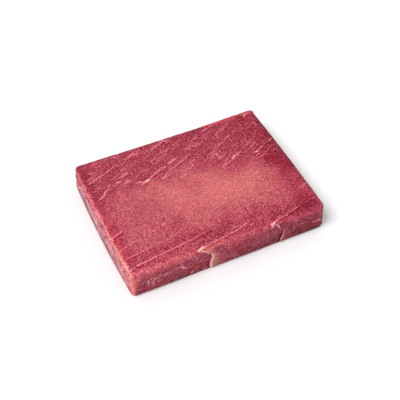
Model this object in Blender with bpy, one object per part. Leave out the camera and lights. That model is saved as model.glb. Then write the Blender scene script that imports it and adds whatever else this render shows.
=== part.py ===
# Tuna saku block: one raw, trimmed block of tuna loin, lying on its flat cut face.
#
# +X runs along the block's long side, +Y away from the front, +Z up. The origin is the middle of
# the bounding box's underside. The block starts as a sharp box on which every point has a place,
# and one set of functions bends that box into the cut block: rounded corners and rims, ends that
# bow and lean out, and the relief of the muscle bands and of the tissue seams between them.

import bmesh
import bpy
import numpy as np

MM = 0.001

# The sharp box
LENGTH = 155 * MM
WIDTH = 120 * MM
HEIGHT = 23.5 * MM

# Rounding, in plan and along the rims
RADIUS_BACK_LEFT = 2.5 * MM
RADIUS_BACK_RIGHT = 3.1 * MM
RADIUS_FRONT_RIGHT = 5.9 * MM
RADIUS_FRONT_LEFT = 3.0 * MM
TOP_RIM = 3.2 * MM
BOTTOM_RIM = 2.0 * MM

# Soft flesh: how far the ends bow out in plan, how far their feet stand out, and how far the
# front's foot is tucked in, the back is hollow and the top swells
BOW_RIGHT = 0.8 * MM
BOW_LEFT = 1.6 * MM
FOOT_RIGHT = 1.7 * MM
FOOT_LEFT = 1.5 * MM
FRONT_TUCK = 0.9 * MM
BACK_HOLLOW = 0.5 * MM
TOP_SWELL = 0.4 * MM

# Slow waves that cross on the top: height, length and heading in degrees from +X
TOP_WAVES = (
    (0.16 * MM, 61 * MM, 24),
    (0.12 * MM, 43 * MM, 101),
    (0.08 * MM, 29 * MM, 152),
)

# The mesh: cell sizes on the faces, and how close to a seam the cells are split once and twice
TOP_CELL = 6.5 * MM
SIDE_CELL = 4.6 * MM
SPLIT_ONCE = 3.4 * MM
SPLIT_TWICE = 1.5 * MM
FLOOR_CELLS_BEYOND = 6 * MM

# Seams of pale tissue between muscle bands on the top, as (x, y) in mm. They stand slightly
# proud, with the flesh on their front side sunk a little.
TOP_SEAMS = {
    "corner": (
        (-76.5, -54.0), (-70.5, -51.5), (-59.2, -50.2),
        (-40.0, -48.0), (-21.5, -45.2), (-9.5, -43.0),
    ),
    "front_left": ((-27.0, -57.8), (-9.5, -54.2), (6.2, -51.8), (16.8, -49.2), (30.0, -47.2)),
    "front_right": ((33.0, -57.5), (57.2, -51.5), (75.5, -47.8)),
    "inner": ((-75.2, -43.8), (-54.0, -40.4), (-32.0, -36.2), (-20.8, -34.8)),
    "short": ((-76.2, -34.0), (-60.0, -30.5)),
}
SEAM_HEIGHT = 0.3 * MM
SEAM_SPREAD = 0.9 * MM
SEAM_DIP = 0.22 * MM

# Torn grooves along the grain in the rough zone at the back of the top, as (x, y) in mm
TOP_GROOVES = (
    ((-73.2, 37.0), (-48.8, 45.8)),
    ((-71.2, 18.0), (-60.2, 27.0)),
    ((-50.0, 26.0), (-30.5, 21.0)),
    ((-20.5, 17.5), (-12.5, 23.5), (3.8, 29.8)),
    ((44.2, 19.8), (64.2, 30.2)),
    ((27.0, 9.8), (36.5, 17.2)),
)
GROOVE_DEPTH = 0.45 * MM
GROOVE_SPREAD = 1.0 * MM

# Where a muscle band's free edge crosses the front face, as (x, depth below the top) in mm.
# The flesh to the left of each edge lies back behind it, and comes forward again further left.
FRONT_EDGES = {
    "left_flap": {
        "points": (
            (-27.0, -1.0), (-24.5, 0.5), (-21.0, 3.2),
            (-16.8, 7.8), (-17.0, 10.8), (-18.5, 24.0),
        ),
        "step": 1.3 * MM,
        "recovers_over": 13 * MM,
    },
    "right_flap": {
        "points": (
            (33.0, -1.0), (33.2, 0.5), (36.0, 2.5),
            (39.2, 7.8), (41.8, 10.5), (40.0, 24.0),
        ),
        "step": 0.9 * MM,
        "recovers_over": 9 * MM,
    },
}
EDGE_SPREAD = 0.7 * MM
EDGE_LIP = 0.25 * MM

# The split low on the front near the right end, as (x, depth below the top) in mm
FRONT_SPLIT = ((63.5, 14.5), (68.5, 14.0), (75.5, 11.5))
SPLIT_DEPTH = 0.8 * MM
SPLIT_SPREAD = 0.9 * MM

# The crease that runs under the top rim along the left end, as (y, depth below the top) in mm
END_CREASE = (
    (-52.0, 3.6), (-40.0, 6.2), (-30.0, 4.9), (-18.0, 6.6), (-5.0, 5.0),
    (8.0, 6.3), (18.0, 4.6), (36.0, 8.0), (50.0, 10.5),
)
CREASE_DEPTH = 0.7 * MM
CREASE_SPREAD = 1.1 * MM

FLESH_COLOUR = (0.51, 0.095, 0.125, 1.0)
FLESH_ROUGHNESS = 0.45


def clear_scene():
    for old in list(bpy.data.objects):
        bpy.data.objects.remove(old)


def even_cuts(low, high, cell):
    """Places from low to high, both included, in equal steps of about one cell."""
    return list(np.linspace(low, high, max(2, round((high - low) / cell) + 1)))


def arc_insets(radius):
    """How far in from a sharp edge to cut, so that the rounded edge has equal facets."""
    facets = 3
    angles = np.linspace(45, 0, facets + 1)[1:]
    return [radius * (1 - np.tan(np.radians(angle))) for angle in angles]


def cut_box(bm, axis, places):
    """Cuts the box across one axis at each of the places."""
    normal = [0, 0, 0]
    normal[axis] = 1
    for place in places:
        point = [0, 0, 0]
        point[axis] = place
        geometry = bm.verts[:] + bm.edges[:] + bm.faces[:]
        bmesh.ops.bisect_plane(bm, geom=geometry, plane_co=point, plane_no=normal, dist=1e-6)


def sharp_box():
    """The sharp box, standing on Z = 0, cut into cells that are finer along its edges."""
    bm = bmesh.new()
    bmesh.ops.create_cube(bm, size=1)
    bmesh.ops.scale(bm, verts=bm.verts, vec=(LENGTH, WIDTH, HEIGHT))
    bmesh.ops.translate(bm, verts=bm.verts, vec=(0, 0, HEIGHT / 2))
    rim = arc_insets(TOP_RIM) + [RADIUS_FRONT_RIGHT]
    for axis, half in ((0, LENGTH / 2), (1, WIDTH / 2)):
        inner = half - RADIUS_FRONT_RIGHT
        near_edges = [side * (half - inset) for side in (-1, 1) for inset in rim]
        cut_box(bm, axis, near_edges + even_cuts(-inner, inner, TOP_CELL)[1:-1])
    upright = even_cuts(BOTTOM_RIM, HEIGHT - TOP_RIM, SIDE_CELL)
    upright += [HEIGHT - inset for inset in arc_insets(TOP_RIM)[:-1]]
    upright += arc_insets(BOTTOM_RIM)[1:-1]
    cut_box(bm, 2, upright)
    merge_floor(bm)
    return bm


def merge_floor(bm):
    """Makes the middle of the underside one flat face."""
    inner_x = LENGTH / 2 - FLOOR_CELLS_BEYOND
    inner_y = WIDTH / 2 - FLOOR_CELLS_BEYOND
    middle = []
    for face in bm.faces:
        centre = face.calc_center_median()
        if centre.z < 1e-6 and abs(centre.x) < inner_x and abs(centre.y) < inner_y:
            middle.append(face)
    bmesh.ops.dissolve_faces(bm, faces=middle)


def distance_to(line, first, second):
    """Distance from points, given by two arrays, to a line of points in mm. Also says how far
    each point lies beyond its nearest place on the line, along the second direction."""
    nearest = np.full(first.shape, np.inf)
    beyond = np.zeros(first.shape)
    for start, end in zip(line, line[1:]):
        a = np.array(start) * MM
        along = np.array(end) * MM - a
        share = ((first - a[0]) * along[0] + (second - a[1]) * along[1]) / (along @ along)
        share = np.clip(share, 0, 1)
        gap_first = first - a[0] - share * along[0]
        gap_second = second - a[1] - share * along[1]
        gap = np.hypot(gap_first, gap_second)
        closer = gap < nearest
        nearest = np.where(closer, gap, nearest)
        beyond = np.where(closer, gap_second, beyond)
    return nearest, beyond


def bump(distance, spread):
    return np.exp(-((distance / spread) ** 2))


def step_up(value):
    """0 below 0, 1 above 1, smooth between."""
    value = np.clip(value, 0, 1)
    return value * value * (3 - 2 * value)


def distance_to_relief(places):
    """Distance from each point of the sharp box to the nearest seam, groove, flap or crease."""
    x, y, z = places.T
    depth = HEIGHT - z
    on_top = depth < TOP_RIM
    on_front = (y < -WIDTH / 2 + TOP_RIM) & (z > 0)
    on_left = (x < -LENGTH / 2 + TOP_RIM) & (z > 0)
    nearest = np.full(x.shape, np.inf)
    for line in list(TOP_SEAMS.values()) + list(TOP_GROOVES):
        nearest = np.where(on_top, np.minimum(nearest, distance_to(line, x, y)[0]), nearest)
    for line in [edge["points"] for edge in FRONT_EDGES.values()] + [FRONT_SPLIT]:
        nearest = np.where(on_front, np.minimum(nearest, distance_to(line, x, depth)[0]), nearest)
    crease = distance_to(END_CREASE, y, depth)[0]
    return np.where(on_left, np.minimum(nearest, crease), nearest)


def split_near_relief(bm, within):
    """Halves the edges of every face that comes this close to a line of relief."""
    places = np.array([vert.co for vert in bm.verts])
    bm.verts.index_update()
    close = distance_to_relief(places) < within
    edges = set()
    for face in bm.faces:
        if any(close[vert.index] for vert in face.verts):
            edges.update(face.edges)
    bmesh.ops.subdivide_edges(bm, edges=list(edges), cuts=1, use_grid_fill=True)


def corner_radius(x, y):
    left = np.where(y > 0, RADIUS_BACK_LEFT, RADIUS_FRONT_LEFT)
    right = np.where(y > 0, RADIUS_BACK_RIGHT, RADIUS_FRONT_RIGHT)
    return np.where(x < 0, left, right)


def share_of(part, whole, otherwise):
    """part / whole, or the given value where the whole is nothing."""
    filled = np.full(whole.shape, float(otherwise))
    return np.divide(part, whole, out=filled, where=whole > 0)


def round_off(inset, depth, radius):
    """Turns the square edge between two faces into a quarter round. Points are given by how far
    they lie in from each face. Also gives the normal's shares away from the two faces."""
    across = np.maximum(radius - inset, 0)
    down = np.maximum(radius - depth, 0)
    reach = np.hypot(across, down)
    pull = 1 - share_of(np.maximum(across, down), reach, 1)
    return (
        inset + across * pull,
        depth + down * pull,
        share_of(across, reach, 0),
        share_of(down, reach, 0),
    )


def slow_waves(x, y):
    height = np.zeros(x.shape)
    for wave_height, length, heading in TOP_WAVES:
        angle = np.radians(heading)
        travelled = x * np.cos(angle) + y * np.sin(angle)
        height += wave_height * np.sin(2 * np.pi * travelled / length)
    return height


def top_relief(x, y):
    """Height of seams and grooves on the top."""
    height = np.zeros(x.shape)
    for line in TOP_SEAMS.values():
        gap, beyond = distance_to(line, x, y)
        height += SEAM_HEIGHT * bump(gap, SEAM_SPREAD)
        sunk = bump(gap - 2 * SEAM_SPREAD, SEAM_SPREAD)
        height -= np.where(beyond < 0, SEAM_DIP * sunk, 0)
    for line in TOP_GROOVES:
        height -= GROOVE_DEPTH * bump(distance_to(line, x, y)[0], GROOVE_SPREAD)
    return height


def front_relief(x, depth):
    """How far the front face stands out: the flaps' lips, what lies back behind them, the split."""
    out = np.zeros(x.shape)
    for edge in FRONT_EDGES.values():
        points = np.array(edge["points"]) * MM
        left_of_edge = np.interp(depth, points[:, 1], points[:, 0]) - x
        begins = step_up((depth - points[0, 1]) / TOP_RIM)
        fades = np.exp(-np.maximum(left_of_edge, 0) / edge["recovers_over"])
        out -= edge["step"] * begins * fades * step_up(left_of_edge / EDGE_SPREAD)
        out += EDGE_LIP * begins * bump(left_of_edge + EDGE_SPREAD, 2 * EDGE_SPREAD)
    return out - SPLIT_DEPTH * bump(distance_to(FRONT_SPLIT, x, depth)[0], SPLIT_SPREAD)


def left_relief(y, depth):
    return -CREASE_DEPTH * bump(distance_to(END_CREASE, y, depth)[0], CREASE_SPREAD)


def shape(places):
    """Bends points of the sharp box into the block."""
    x, y, z = places.T
    half_x = LENGTH / 2
    half_y = WIDTH / 2
    side_x = np.where(x < 0, -1, 1)
    side_y = np.where(y < 0, -1, 1)

    # Plan corners: squares round the corner's centre become circles.
    radius = corner_radius(x, y)
    past_x = np.maximum(np.abs(x) - (half_x - radius), 0)
    past_y = np.maximum(np.abs(y) - (half_y - radius), 0)
    in_corner = (past_x > 0) & (past_y > 0)
    reach = np.hypot(past_x, past_y)
    pull = np.where(in_corner, 1 - share_of(np.maximum(past_x, past_y), reach, 1), 0)
    inset_x = half_x - np.abs(x)
    inset_y = half_y - np.abs(y)
    out_x = side_x * np.where(in_corner, share_of(past_x, reach, 0), inset_x < inset_y)
    out_y = side_y * np.where(in_corner, share_of(past_y, reach, 0), inset_x >= inset_y)
    plan_x = x - side_x * past_x * pull
    plan_y = y - side_y * past_y * pull

    # Rims: the upper half takes the top rim, the lower half the bottom one.
    inset = np.minimum(inset_x, inset_y)
    upper = z > HEIGHT / 2
    over, under, outward, upward = round_off(inset, HEIGHT - z, TOP_RIM)
    over_low, up_low, outward_low, downward = round_off(inset, z, BOTTOM_RIM)
    new_inset = np.where(upper, over, over_low)
    new_z = np.where(upper, HEIGHT - under, up_low)
    normal_out = np.where(upper, outward, outward_low)
    normal_up = np.where(upper, upward, 0)
    plan_x -= out_x * (new_inset - inset)
    plan_y -= out_y * (new_inset - inset)

    # The ends bow and lean out, the front's foot is tucked in, the back is hollow, the top swells.
    along = plan_x / half_x
    aside = plan_y / half_y
    lean = 1 - new_z / HEIGHT
    bow_right = BOW_RIGHT * (1 - aside**2) + FOOT_RIGHT * lean
    bow_left = -BOW_LEFT * (1 - aside**2) - FOOT_LEFT * lean
    new_x = plan_x + np.where(along > 0, bow_right, bow_left) * along**2
    hollow = -BACK_HOLLOW * (1 - along**2) * aside**2
    tuck = FRONT_TUCK * lean * aside**2
    new_y = plan_y + np.where(aside > 0, hollow, tuck)
    swell = TOP_SWELL * (1 - along**2) * (1 - aside**2)
    waves = slow_waves(plan_x, plan_y) * (1 - along**4) * (1 - aside**4)
    new_z += np.where(upper, (swell + waves) * normal_up, 0)

    # Relief stands out along the surface's own normal.
    depth = HEIGHT - z
    on_front = (inset_y < inset_x) & (y < 0)
    on_left = (inset_x <= inset_y) & (x < 0)
    sideways = np.where(on_front, front_relief(x, depth), 0)
    sideways = np.where(on_left, left_relief(y, depth), sideways)
    sideways *= step_up(z / BOTTOM_RIM)
    raised = sideways * normal_out + np.where(upper, top_relief(x, y), 0) * normal_up
    new_x += out_x * normal_out * raised
    new_y += out_y * normal_out * raised
    new_z += normal_up * raised
    return np.column_stack([new_x, new_y, new_z])


def stand_on_origin(places):
    """Puts the middle of the bounding box's underside on the origin."""
    middle = (places.min(axis=0) + places.max(axis=0)) / 2
    return places - (middle[0], middle[1], places[:, 2].min())


def flesh_material():
    flesh = bpy.data.materials.new("tuna_flesh")
    flesh.use_nodes = True
    principled = flesh.node_tree.nodes["Principled BSDF"]
    principled.inputs["Base Color"].default_value = FLESH_COLOUR
    principled.inputs["Roughness"].default_value = FLESH_ROUGHNESS
    principled.inputs["Metallic"].default_value = 0.0
    return flesh


def build_block():
    bm = sharp_box()
    split_near_relief(bm, SPLIT_ONCE)
    split_near_relief(bm, SPLIT_TWICE)
    bmesh.ops.triangulate(bm, faces=bm.faces, quad_method="BEAUTY", ngon_method="BEAUTY")
    places = stand_on_origin(shape(np.array([vert.co for vert in bm.verts])))
    for vert, place in zip(bm.verts, places):
        vert.co = place
    bmesh.ops.recalc_face_normals(bm, faces=bm.faces)
    mesh = bpy.data.meshes.new("tuna_block")
    bm.to_mesh(mesh)
    bm.free()
    mesh.shade_smooth()
    mesh.materials.append(flesh_material())
    block = bpy.data.objects.new("tuna_block", mesh)
    bpy.context.scene.collection.objects.link(block)
    return block


clear_scene()
build_block()
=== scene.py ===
import math

import bmesh
import bpy
import numpy
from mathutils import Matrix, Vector


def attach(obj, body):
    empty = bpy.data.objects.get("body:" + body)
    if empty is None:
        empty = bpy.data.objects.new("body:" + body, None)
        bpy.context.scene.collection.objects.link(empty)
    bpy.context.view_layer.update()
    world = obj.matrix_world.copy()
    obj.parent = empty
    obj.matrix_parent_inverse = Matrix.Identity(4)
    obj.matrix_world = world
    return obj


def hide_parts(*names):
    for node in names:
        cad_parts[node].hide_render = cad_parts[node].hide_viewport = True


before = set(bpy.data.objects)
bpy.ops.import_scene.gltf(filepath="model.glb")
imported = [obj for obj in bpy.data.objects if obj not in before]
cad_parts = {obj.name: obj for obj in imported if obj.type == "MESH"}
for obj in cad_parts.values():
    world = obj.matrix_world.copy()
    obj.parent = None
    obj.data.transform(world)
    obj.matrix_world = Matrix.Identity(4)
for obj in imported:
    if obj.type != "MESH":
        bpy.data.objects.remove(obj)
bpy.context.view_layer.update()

mm = 0.001


# Colours and small helpers

def tone(red, green, blue):
    # a colour as a picker shows it, 0 to 255, made linear
    def linear(value):
        value = value / 255
        return value / 12.92 if value < 0.04045 else ((value + 0.055) / 1.055) ** 2.4
    return (linear(red), linear(green), linear(blue), 1.0)


def report(stage):
    print("block:", stage)


def selectNothing():
    bpy.ops.object.select_all(action="DESELECT")


def makeActive(thing):
    selectNothing()
    thing.select_set(True)
    bpy.context.view_layer.objects.active = thing


def pickEdges(thing, wanted):
    # selects the edges, in edit mode, whose two ends pass the test
    editMesh = bmesh.from_edit_mesh(thing.data)
    for edge in editMesh.edges:
        edge.select_set(wanted(edge.verts[0].co, edge.verts[1].co))
    editMesh.select_flush_mode()
    bmesh.update_edit_mesh(thing.data)


def pickFaces(thing, wanted):
    editMesh = bmesh.from_edit_mesh(thing.data)
    for face in editMesh.faces:
        face.select_set(wanted(face.calc_center_median(), face.normal))
    editMesh.select_flush_mode()
    bmesh.update_edit_mesh(thing.data)


# Node maths: a wire is one output socket, and sums of wires add their Math nodes

class Wire:
    def __init__(self, tree, socket=None):
        self.tree = tree
        self.socket = socket

    def node(self, kind, settings=None, sockets=None, output=0):
        made = self.tree.nodes.new(kind)
        for name, value in (settings or {}).items():
            setattr(made, name, value)
        for name, value in (sockets or {}).items():
            if isinstance(value, Wire):
                self.tree.links.new(value.socket, made.inputs[name])
            else:
                made.inputs[name].default_value = value
        return Wire(self.tree, made.outputs[output])

    def maths(self, operation, first, second=0.0):
        isVector = any(
            isinstance(v, tuple) or (isinstance(v, Wire) and v.socket.type in ("VECTOR", "RGBA"))
            for v in (first, second)
        )
        if isVector:
            first, second = ((v, v, v) if isinstance(v, float) else v for v in (first, second))
        kind = "ShaderNodeVectorMath" if isVector else "ShaderNodeMath"
        return self.node(kind, {"operation": operation}, {0: first, 1: second})

    def __add__(self, other):
        return self.maths("ADD", self, other)

    def __radd__(self, other):
        return self.maths("ADD", other, self)

    def __sub__(self, other):
        return self.maths("SUBTRACT", self, other)

    def __rsub__(self, other):
        return self.maths("SUBTRACT", other, self)

    def __mul__(self, other):
        return self.maths("MULTIPLY", self, other)

    def __rmul__(self, other):
        return self.maths("MULTIPLY", other, self)

    def __truediv__(self, other):
        return self.maths("DIVIDE", self, other)

    def __rtruediv__(self, other):
        return self.maths("DIVIDE", other, self)

    def __abs__(self):
        return self.maths("ABSOLUTE", self)

    def __neg__(self):
        return self.maths("MULTIPLY", self, -1.0)

    def atMost(self, other):
        return self.maths("MINIMUM", self, other)

    def atLeast(self, other):
        return self.maths("MAXIMUM", self, other)

    def ramp(self, low, high, atLow=0.0, atHigh=1.0, smooth=True):
        # goes from atLow to atHigh while this wire goes from low to high
        return self.node(
            "ShaderNodeMapRange",
            {"interpolation_type": "SMOOTHSTEP" if smooth else "LINEAR"},
            {"Value": self, "From Min": low, "From Max": high, "To Min": atLow, "To Max": atHigh},
        )

    def through(self, points):
        # straight lines through points (value, result), level beyond the ends
        total = points[0][1]
        for (low, atLow), (high, atHigh) in zip(points, points[1:]):
            total = total + self.ramp(low, high, 0.0, atHigh - atLow, smooth=False)
        return total

    def bump(self, width):
        # 1 where this wire is 0, fading to 0 on both sides over the width
        return abs(self).ramp(0.0, width, 1.0, 0.0)

    def noise(self, scale, detail=2.0, roughness=0.5, shift=(0.0, 0.0, 0.0)):
        # 0 to 1, with a mean of about a half; this wire is a place in mm
        return self.node(
            "ShaderNodeTexNoise",
            {"noise_dimensions": "3D"},
            {"Vector": self + shift, "Scale": scale, "Detail": detail, "Roughness": roughness},
        )

    def warped(self, scale, reach):
        # the place pushed about by soft noise, by up to half the reach each way
        colour = self.node(
            "ShaderNodeTexNoise",
            {"noise_dimensions": "3D"},
            {"Vector": self, "Scale": scale, "Detail": 2.0},
            output=1,
        )
        return self + (colour - (0.5, 0.5, 0.5)) * (reach, reach, reach)

    def mixed(self, first, second):
        # a colour between two colours, by this wire
        return self.node(
            "ShaderNodeMix",
            {"data_type": "RGBA", "clamp_factor": True},
            {0: self, 6: first, 7: second},
            output=2,
        )


def parts(place):
    split = place.node("ShaderNodeSeparateXYZ", sockets={0: place})
    made = split.socket.node
    return [Wire(place.tree, made.outputs[axis]) for axis in range(3)]


def joined(x, y, z):
    wires = [w for w in (x, y, z) if isinstance(w, Wire)]
    return wires[0].node("ShaderNodeCombineXYZ", sockets={0: x, 1: y, 2: z})


# The block's form, in mm

block = {
    "length": 155.0,
    "width": 120.0,
    "height": 23.5,
    "corners": {"backLeft": 2.5, "backRight": 3.1, "frontRight": 5.9, "frontLeft": 3.0},
    "topRim": 3.2,
    "bottomRim": 2.0,
    "bowRight": 0.8,
    "bowLeft": 1.6,
    "footRight": 1.7,
    "footLeft": 1.5,
    "frontTuck": 0.5,
    "backHollow": 0.5,
    "topSwell": 0.4,
    "facet": 0.6,  # of the even mesh that carries the relief
    "undersideKeeps": 0.02,  # the share of its flat facets that stays
    # how far the relief stands out or goes in
    "coarseFibres": 0.15,
    "fineFibres": 0.15,
    "strandRise": 0.3,
    "seamRise": 0.28,
    "seamGroove": 0.3,
    "lumps": 0.21,
    "pits": 0.2,
    "frontWaves": 0.5,
    "flapLip": 0.3,
    "splitDepth": 0.8,
    "creaseDepth": 0.9,
    "creaseLip": 0.35,
    "scallops": 0.48,
    "backLip": 0.7,
    "allOver": 0.12,  # makes up for what the grooves take away
    # the faint fibres that are strewn over the torn zone
    "strays": 210,
    "straySeed": 7,
    "strayReach": (3, 11),
    "strayBright": (0.15, 0.5),
    "strayWidth": 0.6,
}
halfLength = block["length"] / 2
halfWidth = block["width"] / 2
height = block["height"]

# Pale seams between the muscle bands on the top: points (x, y), how bright along x, how wide
seams = {
    "corner": {
        "points": (
            (-76.5, -53.5), (-73, -52), (-70, -51.5), (-60, -50.5), (-40, -48.3), (-30, -46.9), (-8, -43.6),
        ),
        "bright": ((-78, 1.0), (-60, 0.8), (-50, 0.6), (-40, 0.85), (-22, 0.6), (-12, 0.2), (-8, 0.0)),
        "width": 0.85,
    },
    "frontLeft": {
        "points": (
            (-27, -57.8), (-23, -56.6), (-18, -56.2), (-10, -55.1), (-3, -54.0), (5, -52.8), (15, -50),
            (25, -47.6),
        ),
        "bright": ((-28, 0.0), (-26, 0.9), (-10, 0.65), (0, 0.7), (8, 0.85), (15, 0.45), (26, 0.0)),
        "width": 0.85,
    },
    "frontRight": {
        "points": ((32, -59), (35, -57.5), (42, -55.5), (50, -53.8), (57.5, -51.3), (76, -47.8)),
        "bright": ((31, 0.0), (34, 0.9), (44, 0.6), (50, 0.85), (57, 0.6), (60, 0.35), (76, 0.4)),
        "width": 0.9,
    },
    "inner": {
        "points": ((-75.5, -43.5), (-71, -42.3), (-58, -41), (-50, -39.6), (-42, -39), (-22, -33.8)),
        "bright": ((-76, 0.5), (-58, 0.5), (-50, 0.2), (-38, 0.4), (-22, 0.0)),
        "width": 0.8,
    },
    "short": {
        "points": ((-77, -34.7), (-70, -32.3), (-64, -31), (-58, -31)),
        "bright": ((-76, 0.5), (-64, 0.35), (-58, 0.0)),
        "width": 0.9,
    },
    "shortest": {
        "points": ((-78, -20.8), (-72, -19.3), (-68, -17.8)),
        "bright": ((-77, 0.7), (-70, 0.7), (-68, 0.0)),
        "width": 1.1,
    },
}

# Single pale fibres that stand out on the top: from x, y to x, y, how bright, how wide
strands = (
    (-73, 36.7, -60, 41.0, 0.7, 0.8), (-61, 40.7, -48, 46.4, 0.7, 0.8), (-74, 40.3, -69, 41.4, 0.6, 0.8),
    (-72, 29.4, -65, 31.0, 0.4, 0.8), (-73, 17.5, -67, 20.6, 0.7, 1.0), (-67, 22.4, -61, 27.2, 0.6, 0.9),
    (-56, 33.4, -49, 36.4, 0.5, 0.9), (-55, 28.4, -51, 28.4, 0.6, 0.9), (-50, 25.0, -45, 26.8, 0.6, 0.9),
    (-38, 49.4, -32, 52.4, 0.6, 0.9), (-44.5, 43.8, -40, 48.4, 0.4, 0.8),
    (-48, 31.8, -43, 34.2, 0.4, 0.8), (-37, 30.0, -30, 31.8, 0.4, 0.8), (-29, 22.8, -22, 27.0, 0.5, 0.8),
    (-22, 26.9, -15, 28.8, 0.6, 0.8), (-10, 30.3, -3.8, 33.0, 0.8, 0.9),
    (-21, 17.4, -11.5, 23.9, 0.7, 0.8), (-12, 23.6, 4, 29.9, 0.65, 0.8), (-17, 49.6, -5, 55.0, 0.6, 0.8),
    (-6, 55.0, -1, 55.0, 0.6, 1.2), (-8, 43.8, -3, 46.0, 0.4, 0.8), (-21, 38.9, -18.2, 39.6, 0.6, 1.0),
    (-5, 12.8, 0, 18.2, 0.4, 0.8), (2, 17.6, 7, 21.8, 0.4, 0.8), (-40.5, 21.8, -37, 21.0, 0.5, 1.0),
    (-38, 18.6, -33, 20.2, 0.45, 1.1), (-34.5, 20.2, -30, 21.4, 0.9, 1.3),
    (28, 52.3, 42, 56.6, 0.5, 0.8), (30, 31.6, 39, 34.0, 0.5, 0.8), (21, 22.2, 27.5, 24.6, 0.5, 0.8),
    (26, 9.6, 38, 19.8, 0.45, 0.8), (37.5, 15.6, 46, 18.2, 0.5, 0.9), (48, 16.8, 56, 19.6, 0.35, 0.8),
    (53, 23.6, 66, 30.2, 0.35, 0.8), (61, 14.2, 67, 18.0, 0.45, 0.8), (66, 17.6, 74.5, 20.8, 0.65, 0.8),
    (56.6, 12.6, 59.2, 13.8, 0.7, 1.0), (-56, -29.6, -38, -24.2, 0.2, 0.8),
    (-26, -19.0, -21, -15.4, 0.18, 0.9), (64, -36.8, 76, -32.8, 0.25, 0.8),
    (43, -40.8, 51, -38.8, 0.2, 0.8), (13, -36.4, 19, -35.0, 0.2, 0.8),
)

# Free edges of the muscle bands on the front: (height above the floor, x)
flaps = {
    "left": {
        "points": (
            (0.0, -17.3), (5.0, -17.7), (8.5, -17.2), (11.0, -16.6), (13.0, -16.1), (15.5, -16.1),
            (18.0, -17.6), (20.0, -20.4), (22.0, -22.6), (24.5, -27.0), (26.0, -30.0),
        ),
        "step": 1.3,
        "recovers": 13.0,
        "line": 1.1,
        "bright": 0.95,
        "skin": 0.6,
    },
    "right": {
        "points": (
            (0.0, 39.8), (3.0, 40.3), (6.0, 41.0), (9.0, 41.8), (12.0, 42.3), (14.0, 41.9), (15.2, 40.4),
            (17.0, 38.4), (19.0, 37.4), (20.7, 36.9), (22.5, 35.0), (24.5, 33.4), (26.0, 32.6),
        ),
        "step": 0.9,
        "recovers": 9.0,
        "line": 0.75,
        "bright": 0.6,
        "skin": 0.0,
    },
}

# The split near the right end of the front: (x, height)
splitLine = ((63.5, 9.0), (68.5, 9.5), (75.5, 12.0))

# The crease under the left end's rim: (y, height)
creaseLine = (
    (-56.8, 19.5), (-51.4, 19.1), (-46.1, 17.7), (-40.5, 17.6), (-35.7, 18.7), (-30.9, 19.9),
    (-25.3, 19.1), (-19.6, 18.4), (-12.6, 19.6), (-6.6, 20.7), (0.2, 19.9), (6.2, 19.2),
    (11.4, 19.8), (16.7, 20.7), (26.8, 18.7), (34.9, 16.2), (49.4, 11.4),
)


def addCube():
    selectNothing()
    bpy.ops.mesh.primitive_cube_add(size=1, location=(0, 0, height / 2 * mm))
    cube = bpy.context.object
    cube.name = "tuna_flesh"
    cube.scale = (block["length"] * mm, block["width"] * mm, height * mm)
    bpy.ops.object.transform_apply(location=True, rotation=True, scale=True)
    return cube


def bevelPicked(radius, segments):
    bpy.ops.mesh.bevel(offset=radius * mm, segments=segments, affect="EDGES", clamp_overlap=False)


def roundEdges(cube):
    near = 0.1 * mm
    bpy.ops.object.mode_set(mode="EDIT")
    bpy.ops.mesh.select_mode(type="EDGE")
    places = {
        "backLeft": (-halfLength, halfWidth),
        "backRight": (halfLength, halfWidth),
        "frontRight": (halfLength, -halfWidth),
        "frontLeft": (-halfLength, -halfWidth),
    }
    for corner, (x, y) in places.items():
        spot = Vector((x * mm, y * mm))
        pickEdges(cube, lambda a, b: (a.xy - spot).length < near and (b.xy - spot).length < near)
        bevelPicked(block["corners"][corner], 8)
    pickEdges(cube, lambda a, b: min(a.z, b.z) > height * mm - near)
    bevelPicked(block["topRim"], 6)
    pickEdges(cube, lambda a, b: max(a.z, b.z) < near)
    bevelPicked(block["bottomRim"], 4)
    bpy.ops.object.mode_set(mode="OBJECT")


def remesh(cube):
    makeActive(cube)
    modifier = cube.modifiers.new("evenFacets", "REMESH")
    modifier.mode = "VOXEL"
    modifier.voxel_size = block["facet"] * mm
    bpy.ops.object.modifier_apply(modifier="evenFacets")


# Fields that both the relief and the colours read. Each takes a place in mm.

def seamMask(x, y, seam, wander):
    gap = y - x.through(seam["points"]) + wander
    return gap, gap.bump(seam["width"]) * x.through(seam["bright"])


def grainAcross(x, y):
    # counts mm across the grain: the fibres lie along level lines of this field
    slope = y.through(((-60, 0.15), (-35, 0.19), (0, 0.3), (22, 0.42), (60, 0.42)))
    return y - x * slope - x * x * 0.0006


# The torn, dark zone at the back of the top lies beyond this line of places (x, y)
roughBorder = (
    (-80, 17.0), (-72, 18.0), (-53, 23.0), (-31, 20.0), (-20, 19.0), (-8, 25.0), (4, 24.0), (14, 18.0),
    (22, 13.0), (36, 9.0), (56, 8.0), (66, 0.0), (73, -14.0), (80, -20.0),
)

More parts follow.
